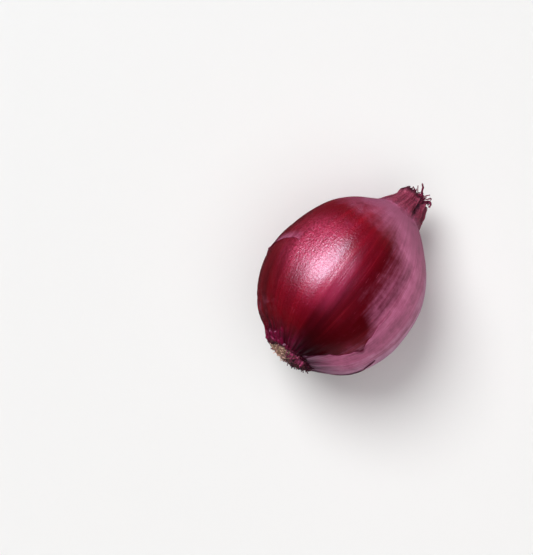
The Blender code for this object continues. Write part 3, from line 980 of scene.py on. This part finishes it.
class ONION_OT_loose_skins(Operator):
    """Build the torn outer skins that have come loose from the bulb"""

    bl_idname = "onion.loose_skins"
    bl_label = "Loose skins"

    def execute(self, context):
        skin = context.scene.onion_skin
        settings = context.scene.onion_loose_skin

        def side_lift(across, along):
            """Lifted at the torn edge beside the root end, and gone under the skin further up."""
            edge = bump(0.0, 0.035, across) * ease(0.44, 0.34, along)
            ragged = 0.5 + 0.9 * noise.noise(Vector((along * 14, 3, 1)))
            hidden = ease(0.16, 0.0, across) * ease(0.38, 0.52, along)
            return 0.12 * MM + settings.lift * edge * ragged - 0.45 * MM * hidden

        borders = (
            lambda height: math.radians(follow(TORN_EDGE, height / MM)),
            lambda height: math.radians(322),
        )
        heights = (lambda across: -36.2 * MM, lambda across: 42.0 * MM)
        bm = torn_sheet(borders, heights, 150, 190, 1.3 * MM, 3.0, side_lift, skin)
        paper = skin_material(skin, "papery_lilac_skin", 1.0)
        piece = new_piece("loose_side_skin", bm, [paper])
        add_thickness(piece, settings.thickness)

        def back_lift(across, along):
            """Lifted along its lowest edge only, and gone under the skin at its other edges."""
            edge = bump(0.0, 0.07, along)
            ragged = 0.6 + 0.9 * noise.noise(Vector((across * 12, 8, 4))) + 1.2 * bump(0.36, 0.03, across)
            fade = ease(0.0, 0.2, across) * ease(1.0, 0.72, across) * ease(1.0, 0.5, along)
            return -0.25 * MM + 0.33 * MM * fade + settings.lift * edge * ragged * fade

        def scrap_lift(across, along):
            """Held at its far edge, with the torn near edge lifted off the papery skin."""
            torn = 0.5 * MM * bump(0.0, 0.3, across)
            return 0.30 * MM + torn * ease(0.0, 0.4, along) * ease(1.0, 0.6, along)

        scrap = shred_material("dark_skin_scrap", (0.10, 0.006, 0.018), 1.0)
        for name, angle, middle, reach, spread in (
            ("dark_side_scrap", 273, -27.4, 4.9, 0.15),
            ("dark_small_scrap", 254, -20.6, 2.3, 0.05),
        ):
            bm = self.make_flake(angle, middle, reach, spread, scrap_lift, skin)
            add_thickness(new_piece(name, bm, [scrap]), settings.thickness)

        borders = (lambda height: math.radians(62), lambda height: math.radians(137))
        heights = (lambda across: follow(ARCHED_EDGE, 62 + 75 * across) * MM, lambda across: 14 * MM)
        bm = torn_sheet(borders, heights, 120, 70, 0.9 * MM, 11.0, back_lift, skin)
        back = skin_material(skin, "crimson_back_skin", edged=0.8)
        piece = new_piece("loose_back_skin", bm, [back])
        add_thickness(piece, settings.thickness)
        return {"FINISHED"}

    @staticmethod
    def make_flake(angle, middle, reach, spread, lift, skin):
        """A scrap of skin at an angle and a height, which narrows towards its two ends."""

        def half(height):
            return spread * math.sqrt(max(0.04, 1 - ((height / MM - middle) / reach) ** 2))

        def leaning(height):
            return math.radians(angle) - 0.03 * (height / MM - middle)

        borders = (
            lambda height: leaning(height) - half(height),
            lambda height: leaning(height) + 0.6 * half(height),
        )
        heights = (lambda across: (middle - reach) * MM, lambda across: (middle + reach) * MM)
        return torn_sheet(borders, heights, 40, 48, min(0.2 * reach, 0.8) * MM, 5.0, lift, skin)


def make_strip(bm, foot, aim, face, length, width, curl, twist, segments=8):
    """A torn strip of dry leaf: it narrows, bends towards its face, twists, and ends ragged."""
    made = bmesh.ops.create_grid(bm, x_segments=2, y_segments=segments, size=0.5)["verts"]
    aim = aim.normalized()
    face = (face - aim * face.dot(aim)).normalized()
    across = aim.cross(face)
    steps = 24
    for vertex in made:
        side = vertex.co.x
        along = vertex.co.y + 0.5
        centre = foot.copy()
        for step in range(round(steps * along)):
            turn = curl * step / steps
            centre += (aim * math.cos(turn) + face * math.sin(turn)) * length / steps
        turn = curl * along
        normal = face * math.cos(turn) - aim * math.sin(turn)
        roll = twist * along
        sideways = across * math.cos(roll) + normal * math.sin(roll)
        taper = 1 - 0.75 * along**1.5
        cup = (0.25 - side * side) * 0.6 * width
        vertex.co = centre + sideways * side * width * taper + normal * cup * taper
    return made


def make_strand(bm, route, width, draw):
    """A torn strand along a route of points from the middle of the mouth, ragged and cupped."""
    base = Vector((0, NECK_LEAN, MOUTH_HEIGHT))
    rows = 7 * (len(route) - 1)
    made = bmesh.ops.create_grid(bm, x_segments=2, y_segments=rows, size=0.5)["verts"]
    roll = draw.uniform(0, math.pi)
    seed = draw.uniform(0, 50)
    last = len(route) - 1
    for vertex in made:
        side = vertex.co.x
        along = vertex.co.y + 0.5
        index = min(int(along * last), last - 1)
        near, far = route[index], route[index + 1]
        before, after = route[max(index - 1, 0)], route[min(index + 2, last)]
        place = geometry.interpolate_bezier(
            near, near + (far - before) / 6, far - (after - near) / 6, far, 9
        )[round(8 * (along * last - index))]
        aim = (far - near).normalized()
        across = aim.cross(ring(roll + 1.6 * along)).normalized()
        ragged = 1 + 0.55 * noise.noise(Vector((seed, 9 * along, side)))
        taper = (1 - 0.55 * along) * ragged
        cup = aim.cross(across) * (0.25 - side * side) * 2.2 * width
        vertex.co = base + place + (across * side * width + cup) * taper
    return made


class ONION_OT_neck_tips(Operator):
    """Build the dry leaf tips that stand in the mouth of the neck"""

    bl_idname = "onion.neck_tips"
    bl_label = "Neck tips"

    def execute(self, context):
        settings = context.scene.onion_neck
        material = shred_material("dry_leaf_tips", settings.tint, 1.2)
        sleeves = ((4.5, 55.6), (3.7, 56.2), (2.9, 56.0), (2.0, 56.6), (1.1, 56.2))
        bm = bmesh.new()
        for index, (radius, top) in enumerate(sleeves):
            self.make_sleeve(bm, index, radius * MM, top * MM)
        piece = new_piece("neck_sleeves", bm, [material], ["neck_fringe"])
        add_thickness(piece, settings.thickness)

        bm = bmesh.new()
        draw = random.Random(8)
        up = Vector((0, 0, 1))
        for index in range(settings.shreds):
            outward = ring(index * GOLDEN_ANGLE)
            in_tuft = index % 2 == 0
            reach = draw.uniform(0.3, 2.8) if in_tuft else draw.uniform(1.8, 4.4)
            foot = outward * reach * MM
            foot += Vector((0, NECK_LEAN, MOUTH_HEIGHT - draw.uniform(0.8, 2.4) * MM))
            if in_tuft:
                foot += Vector((-0.8, -1.0, 0)) * MM
            lean = draw.uniform(-0.3, 0.4) if in_tuft else draw.uniform(-0.2, 0.8)
            aim = up * math.cos(lean) + outward * math.sin(lean)
            length = (draw.uniform(3.4, 5.4) if in_tuft else draw.uniform(1.8, 4.0)) * MM
            width = draw.uniform(0.6, 1.6) * MM
            curl = draw.uniform(-1.0, 1.0) if in_tuft else draw.uniform(-0.8, 2.4)
            make_strip(bm, foot, aim, outward, length, width, curl, draw.uniform(-2, 2))
        for route, width in STRANDS:
            make_strand(bm, [Vector(point) * MM for point in route], width * MM, draw)
        piece = new_piece("neck_shreds", bm, [material])
        add_thickness(piece, settings.thickness)
        return {"FINISHED"}

    @staticmethod
    def make_sleeve(bm, index, radius, top):
        """One of the nested leaf tubes: pleated, pinched, and torn along its rim."""
        foot = 49.4 * MM
        rows = 14
        part = bmesh.new()
        spin_profile(part, [(radius, foot + (top - foot) * row / rows) for row in range(rows + 1)], 110)
        for vertex in part.verts:
            angle = math.atan2(vertex.co.y, vertex.co.x)
            along = (vertex.co.z - foot) / (top - foot)
            folds = math.sin((7 + index) * angle + 2 * index + 1.3 * math.sin(2 * angle))
            crinkle = noise.noise(ring(angle) * 5 + Vector((0, index, along * 3)))
            out = (0.10 + 0.10 * along) * folds + 0.22 * crinkle * along
            jag = 1.5 * noise.noise(ring(angle) * 3 + Vector((index, 0, 0)))
            jag += 1.1 * noise.noise(ring(angle) * 11 + Vector((0, index, 0)))
            jag += RIM_SLOPE / MM * math.sin(angle)
            point = ring(angle) * radius * (1 + out)
            point.z = vertex.co.z + along * jag * MM
            point.y += axis_shift(vertex.co.z)
            vertex.co = point
        mesh = bpy.data.meshes.new("sleeve")
        part.to_mesh(mesh)
        part.free()
        bm.from_mesh(mesh)
        bpy.data.meshes.remove(mesh)


def make_root(bm, tints, tint, foot, aim, length, radius, curl, wave):
    """A trimmed root: a thin tube pushed out of a disc step by step, which curls as it goes."""
    segments = 7
    made = bmesh.ops.create_circle(bm, cap_ends=True, segments=6, radius=radius)["verts"]
    turn = aim.to_track_quat("Z", "Y")
    bmesh.ops.transform(bm, matrix=Matrix.Translation(foot) @ turn.to_matrix().to_4x4(), verts=made)
    for vertex in made:
        vertex[tints] = tint
    face = made[0].link_faces[0]
    centre = foot.copy()
    for step in range(segments):
        grown = bmesh.ops.extrude_face_region(bm, geom=[face])["geom"]
        verts = [item for item in grown if isinstance(item, bmesh.types.BMVert)]
        face = next(item for item in grown if isinstance(item, bmesh.types.BMFace))
        bend = Matrix.Rotation(curl / segments, 4, wave)
        aim = (bend @ aim).normalized()
        move = aim * length / segments
        shrink = Matrix.Scale(0.93, 4)
        about = Matrix.Translation(centre + move) @ bend @ shrink @ Matrix.Translation(-centre)
        bmesh.ops.transform(bm, matrix=about, verts=verts)
        centre = centre + move
        wave = (wave + 0.35 * aim.cross(wave)).normalized()
        for vertex in verts:
            vertex[tints] = tint


# Sizes of the torn strips round the root plate, as ranges in millimetres and radians: distance from
# the axis, rise over the lip, lean, length, width, curl and twist.
ROOT_SHREDS = ((9.3, 10.4), (0.1, 0.9), (-0.2, 0.9), (0.9, 2.2), (0.3, 1.2), (-1.2, 1.6), (-1, 1))
ROOT_CURLS = ((6.0, 10.2), (0.3, -0.7), (-0.9, 0.5), (1.4, 3.0), (0.9, 2.2), (-2.2, 0.4), (-1.4, 1.4))


class ONION_OT_root_end(Operator):
    """Build the corky root plate, its trimmed roots and the dark shreds round it"""

    bl_idname = "onion.root_end"
    bl_label = "Root end"

    def execute(self, context):
        settings = context.scene.onion_root
        draw = random.Random(21)
        self.make_disc(settings)
        self.make_roots(settings, draw)

        def around(index):
            return index * GOLDEN_ANGLE

        def near_side(index):
            return math.radians(draw.uniform(168, 238) - 20 * (index % 4 == 0))

        thickness = context.scene.onion_loose_skin.thickness
        for name, count, place, ranges, segments, look in (
            ("root_shreds", 96, around, ROOT_SHREDS, 6, ("dark_root_shreds", (0.065, 0.003, 0.013), 1.6)),
            ("root_curls", 56, near_side, ROOT_CURLS, 7, ("magenta_root_curls", (0.20, 0.024, 0.065), 1.5)),
        ):
            bm = bmesh.new()
            for index in range(count):
                self.make_torn_strip(bm, draw, ring(place(index)), ranges, segments)
            add_thickness(new_piece(name, bm, [shred_material(*look)]), thickness)
        return {"FINISHED"}

    @staticmethod
    def make_disc(settings):
        """The domed plate, lumpy and cracked, in its socket."""
        rim = SOCKET_RADIUS + 0.5 * MM
        profile = [(0.0, -35.6 * MM), (8.2 * MM, -35.6 * MM), (8.35 * MM, -37.5 * MM)]
        profile += [(rim - 0.2 * MM, -37.9 * MM), (rim, -38.4 * MM)]
        dome_rows = 26
        for row in range(1, dome_rows + 1):
            share = 1 - row / dome_rows
            drop = 1.25 * MM * (1 - share**2)
            profile.append((rim * share, -38.5 * MM - drop))
        bm = bmesh.new()
        spin_profile(bm, profile, 120)
        for vertex in bm.verts:
            if vertex.co.z < -37.8 * MM:
                lump = noise.noise(vertex.co * 330) + 0.6 * noise.noise(vertex.co * 900)
                crack = abs(noise.noise(vertex.co * 520 + Vector((3, 1, 0))))
                vertex.co.z += (0.45 * lump + 0.7 * max(0.0, 0.12 - crack) * 4) * MM
                vertex.co.xy = vertex.co.xy * (1 + 0.025 * noise.noise(vertex.co * 700))
            vertex.co.y += ROOT_SHIFT
        new_piece("root_disc", bm, [cork_material(settings)], ["root_plate"])

    @staticmethod
    def make_roots(settings, draw):
        """Short roots all over the plate, pink on the near side."""
        bm = bmesh.new()
        tints = bm.verts.layers.float.new("root_tint")
        for index in range(settings.roots):
            share = math.sqrt((index + 0.5) / settings.roots)
            outward = ring(index * GOLDEN_ANGLE + draw.uniform(-0.3, 0.3))
            foot = outward * share * (SOCKET_RADIUS - 0.1 * MM)
            foot += Vector((0, ROOT_SHIFT, -38.0 * MM - 1.2 * MM * (1 - share**2)))
            splay = 0.45 + 0.45 * share**2 + draw.uniform(-0.3, 0.3)
            around = ring(index * GOLDEN_ANGLE + draw.uniform(-1.3, 1.3))
            aim = around * math.sin(splay) - Vector((0, 0, math.cos(splay)))
            length = draw.uniform(1.0, 2.4) * MM
            wave = aim.cross(Vector((0, 0, -1))) + Vector([draw.uniform(-0.5, 0.5) for _ in range(3)])
            pink = ease(-0.15, 0.22, -outward.y * share)
            tint = draw.uniform(0.26, 1.0) - 0.85 * pink * draw.uniform(0.7, 1.1)
            radius = draw.uniform(0.24, 0.42) * MM
            curl = -draw.uniform(0.6, 2.3)
            make_root(bm, tints, tint, foot, aim, length, radius, curl, wave.normalized())
        bmesh.ops.recalc_face_normals(bm, faces=bm.faces[:])
        new_piece("trimmed_roots", bm, [root_material(settings)])

    @staticmethod
    def make_torn_strip(bm, draw, outward, ranges, segments):
        """A torn strip at the lip of the root end, of sizes drawn from the ranges."""
        reach, rise, lean, length, width, curl, twist = (draw.uniform(*limits) for limits in ranges)
        foot = outward * reach * MM + Vector((0, ROOT_SHIFT, LIP_HEIGHT + rise * MM))
        aim = outward * math.sin(lean) - Vector((0, 0, math.cos(lean)))
        make_strip(bm, foot, aim, outward, length * MM, width * MM, curl, twist, segments)


# The floor and the far wall, in metres, within the reach of the cameras.
FLOOR_RADIUS = 6.2
WALL_RADIUS = 6.0
WALL_HEIGHT = 3.0

# The softbox's size in metres.
SOFTBOX_SIZE = (1.8, 1.45)

# How bright the surroundings are at a height, from 0 straight down to 1 straight up: on the side
# that faces the onion's near side, and on the other.
BRIGHT_WALL = (
    (0.0, 0.62), (0.30, 0.62), (0.49, 0.66), (0.54, 0.36), (0.62, 0.06), (0.70, 0.01), (1.0, 0.004),
)
DARK_WALL = (
    (0.0, 0.03), (0.04, 0.03), (0.10, 0.02), (0.50, 0.012), (0.60, 0.01), (0.70, 0.006), (1.0, 0.004),
)


def new_light(name, kind, aim, distance, target):
    """A light that shines on the target from a direction."""
    light = bpy.data.lights.new(name, kind)
    lamp = bpy.data.objects.new(name, light)
    direction = Vector(aim).normalized()
    lamp.location = target + direction * distance
    lamp.rotation_euler = direction.to_track_quat("Z", "Y").to_euler()
    lamp.visible_camera = False
    bpy.context.scene.collection.objects.link(lamp)
    return lamp


def new_stage(name, bm, material):
    """A part of the studio, which the onion's skin doesn't mirror."""
    mesh = bpy.data.meshes.new(name)
    bm.to_mesh(mesh)
    bm.free()
    mesh.materials.append(material)
    stage = bpy.data.objects.new(name, mesh)
    bpy.context.scene.collection.objects.link(stage)
    stage.visible_glossy = False
    return stage


class ONION_OT_studio(Operator):
    """Set up the pale floor, the soft light and the camera that looks straight down"""

    bl_idname = "onion.studio"
    bl_label = "Studio"

    def execute(self, context):
        settings = context.scene.onion_studio
        self.make_floor(settings)
        self.make_backdrop()
        self.make_lights(settings)
        self.make_surroundings(context)
        self.make_camera(context, settings)
        context.scene.view_settings.view_transform = "Standard"
        return {"FINISHED"}

    @staticmethod
    def make_floor(settings):
        bm = bmesh.new()
        bmesh.ops.create_circle(bm, cap_ends=True, segments=96, radius=FLOOR_RADIUS)
        recipe = Recipe("pale_floor")
        soft = recipe.grain(recipe.node("TexCoord").outputs["Object"], 3.0, 2.0)
        colour = recipe.paint(scaled(settings.floor, 0.985), settings.floor, soft)
        recipe.set(Base_Color=colour, Roughness=0.75, Specular_IOR_Level=0.2)
        new_stage("floor", bm, recipe.material)

    @staticmethod
    def make_backdrop():
        """A round wall far off, which only the camera sees."""
        bm = bmesh.new()
        bmesh.ops.create_circle(bm, segments=96, radius=WALL_RADIUS)
        grown = bmesh.ops.extrude_edge_only(bm, edges=bm.edges[:])["geom"]
        raised = [item for item in grown if isinstance(item, bmesh.types.BMVert)]
        bmesh.ops.translate(bm, vec=(0, 0, WALL_HEIGHT), verts=raised)
        recipe = Recipe("pale_backdrop")
        recipe.set(Base_Color=(0, 0, 0, 1), Emission_Color=(0.90, 0.89, 0.88, 1), Emission_Strength=1.0)
        recipe.set(Specular_IOR_Level=0.0)
        backdrop = new_stage("backdrop", bm, recipe.material)
        backdrop.visible_diffuse = False
        backdrop.visible_shadow = False

    @staticmethod
    def make_lights(settings):
        target = Vector((0, 0, 36 * MM))
        for name, aim, energy, spread in (
            ("key", (0.15, 0.55, 0.82), settings.key, 34),
            ("fill", (-0.1, -0.15, 1.0), settings.fill, 72),
        ):
            sun = new_light(name, "SUN", aim, 2.0, target)
            sun.data.energy = energy
            sun.data.angle = math.radians(spread)
            sun.visible_glossy = False
        softbox = new_light("softbox", "AREA", (0.235, 0.685, 0.69), 0.8, target)
        softbox.data.shape = "RECTANGLE"
        softbox.data.size, softbox.data.size_y = SOFTBOX_SIZE
        softbox.data.energy = math.pi * SOFTBOX_SIZE[0] * SOFTBOX_SIZE[1]
        softbox.data.color = (0.66, 0.87, 1.0)
        softbox.visible_diffuse = False
        softbox.data.use_shadow = False
        ONION_OT_studio.soften(softbox.data, settings)

    @staticmethod
    def soften(light, settings):
        """Makes the softbox brightest at its middle, and fades it out towards its edges."""
        light.use_nodes = True
        nodes = Nodes(light.node_tree)
        place = nodes.node("NewGeometry").outputs["Parametric"]
        centred = nodes.vector("MULTIPLY", nodes.vector("SUBTRACT", place, (0.5, 0.5, 0)), (2, 2, 0))
        away = nodes.node("VectorMath", centred, operation="LENGTH").outputs["Value"]
        core = nodes.reach(away, 0.12, 0.70, settings.softbox, 0.0)
        rest = nodes.reach(away, 0.55, 1.0, settings.scrim, 0.0)
        nodes.feed(nodes.tree.nodes["Emission"].inputs["Strength"], nodes.math("ADD", core, rest))

    @staticmethod
    def make_surroundings(context):
        """The walls that the skin mirrors: bright low down on one side, and dark elsewhere."""
        world = bpy.data.worlds.new("studio_walls")
        world.use_nodes = True
        context.scene.world = world
        nodes = Nodes(world.node_tree)
        place = nodes.node("TexCoord").outputs["Generated"]
        rise = nodes.node("SeparateXYZ", place).outputs[2]
        level = nodes.node("MapRange", rise, -1.0).outputs[0]
        bright, dark = (
            nodes.ramp(level, *((stop, (shade, 0.88 * shade, 0.96 * shade)) for stop, shade in wall))
            for wall in (BRIGHT_WALL, DARK_WALL)
        )
        facing = nodes.node("VectorMath", place, (-0.25, 0.97, 0.0), operation="DOT_PRODUCT")
        side = nodes.node("MapRange", facing.outputs["Value"], -0.75, -0.05).outputs[0]
        nodes.feed(nodes.tree.nodes["Background"].inputs["Color"], nodes.paint(bright, dark, side))

    @staticmethod
    def make_camera(context, settings):
        camera = bpy.data.objects.new("camera", bpy.data.cameras.new("camera"))
        camera.data.lens = settings.lens
        camera.location = (-24.6 * MM, 29.3 * MM, settings.camera_height)
        camera.rotation_euler = (0, 0, math.atan2(-0.7943, 0.6075))
        context.scene.collection.objects.link(camera)
        context.scene.camera = camera


STEPS = ("bulb_skin", "loose_skins", "neck_tips", "root_end", "studio")
SETTINGS = {
    "onion_skin": SkinSettings,
    "onion_loose_skin": LooseSkinSettings,
    "onion_neck": NeckSettings,
    "onion_root": RootSettings,
    "onion_studio": StudioSettings,
}


class ONION_PT_panel(Panel):
    """Lists the operators and their sizes and colours"""

    bl_idname = "ONION_PT_panel"
    bl_label = "Red Onion"
    bl_space_type = "VIEW_3D"
    bl_region_type = "UI"
    bl_category = "Onion"

    def draw(self, context):
        for name, group in SETTINGS.items():
            box = self.layout.box()
            for key in group.__annotations__:
                box.prop(getattr(context.scene, name), key)
        for step in STEPS:
            self.layout.operator("onion." + step)


CLASSES = (
    *SETTINGS.values(),
    ONION_OT_bulb_skin,
    ONION_OT_loose_skins,
    ONION_OT_neck_tips,
    ONION_OT_root_end,
    ONION_OT_studio,
    ONION_PT_panel,
)


def register():
    for item in CLASSES:
        bpy.utils.register_class(item)
    for name, group in SETTINGS.items():
        setattr(bpy.types.Scene, name, PointerProperty(type=group))


def unregister():
    for name in SETTINGS:
        delattr(bpy.types.Scene, name)
    for item in reversed(CLASSES):
        bpy.utils.unregister_class(item)


def main():
    register()
    for step in STEPS:
        getattr(bpy.ops.onion, step)()
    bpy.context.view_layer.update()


if __name__ == "__main__":
    main()
